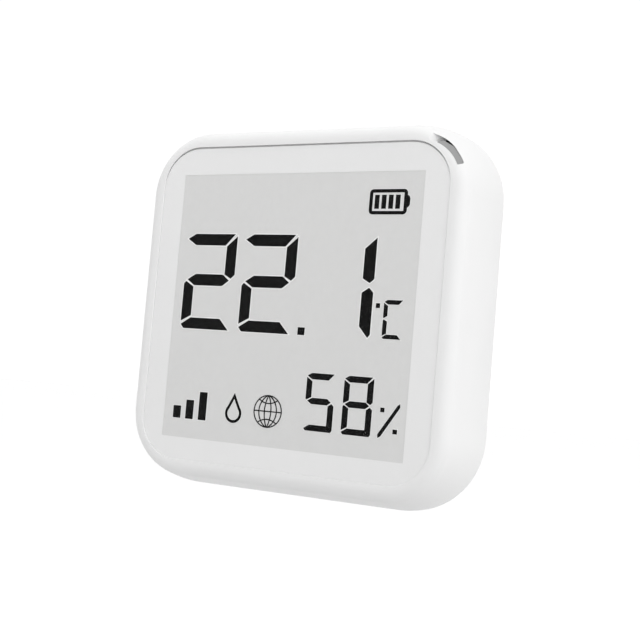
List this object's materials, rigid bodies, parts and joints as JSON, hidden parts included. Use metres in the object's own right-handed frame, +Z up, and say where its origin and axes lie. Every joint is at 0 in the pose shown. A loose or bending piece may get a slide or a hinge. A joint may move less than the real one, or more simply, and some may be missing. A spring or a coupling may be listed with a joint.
{
  "type": "temperature humidity sensor",
  "caption": "Pillow-shaped square indoor climate sensor with an e-paper display, an air slot in one corner, a battery bay and a wall-fixed back cover.",
  "frame": {"origin": "centre of the flat back face, where the back cover meets the wall", "axes": "+X to the right seen from the front, +Y backwards into the wall (the display faces -Y), +Z up"},
  "size_m": [0.07, 0.026, 0.07],
  "materials": {
    "shell_white": "satin moulded white plastic",
    "lens_clear": "clear hard-coated sheet, gloss",
    "mask_white": "pale ink printed behind the lens",
    "adhesive_grey": "pale adhesive tape",
    "epaper_grey": "matte light grey e-paper",
    "ink_black": "matte near-black",
    "foam_grey": "matte closed-cell foam",
    "ribbon_amber": "amber film, semi-gloss",
    "connector_ivory": "ivory moulded plastic",
    "carrier_grey": "grey moulded plastic",
    "board_green": "green solder mask, semi-gloss",
    "steel": "plain plated steel",
    "chip_black": "matte black moulding",
    "ferrite_grey": "matte dark grey ferrite",
    "capacitor_tan": "tan ceramic",
    "button_grey": "satin grey plastic",
    "vent_grey": "matte grey plastic",
    "tray_white": "satin white plastic",
    "nickel": "bright nickel-plated spring steel",
    "cell_wrap": "plain shrink wrap with a bare metal cap"
  },
  "bodies": {
    "back_cover": {"back_cover": "shell_white"},
    "sensor_unit": {"front_shell": "shell_white", "front_lens": "lens_clear", "lens_mask": "mask_white", "lens_adhesive": "adhesive_grey", "epaper_panel": "epaper_grey", "display_segments": "ink_black", "display_foam": "foam_grey", "display_ribbon": "ribbon_amber", "ribbon_connector": "connector_ivory", "display_carrier": "carrier_grey", "main_board": "board_green", "board_screws": "steel", "wireless_module": "board_green", "module_shield": "steel", "driver_chip": "chip_black", "memory_chip": "chip_black", "power_regulator": "chip_black", "power_inductor": "ferrite_grey", "board_capacitors": "capacitor_tan", "clock_crystal": "steel", "usb_socket": "steel", "usb_tongue": "chip_black", "reset_switch": "chip_black", "sensor_chip": "chip_black", "sensor_gasket": "foam_grey", "vent_insert": "vent_grey", "vent_filter": "foam_grey", "battery_tray": "tray_white", "tray_screws": "steel", "positive_terminal": "nickel", "negative_terminal": "nickel", "contact_bridge_left": "nickel", "contact_bridge_upper_right": "nickel", "contact_bridge_lower_right": "nickel", "battery_cell_1": "cell_wrap", "battery_cell_2": "cell_wrap", "battery_cell_3": "cell_wrap", "battery_cell_4": "cell_wrap"},
    "reset_button": {"reset_button": "button_grey"}
  },
  "joints": [
    {"name": "unit_pull_off", "type": "slide", "parent": "back_cover", "child": "sensor_unit", "axis": [0, -1, 0], "range_m": [0, 0.03]},
    {"name": "reset_press", "type": "slide", "parent": "sensor_unit", "child": "reset_button", "axis": [0, -1, 0], "range_m": [0, 0.00025], "stiffness_N_per_m": 600}
  ]
}
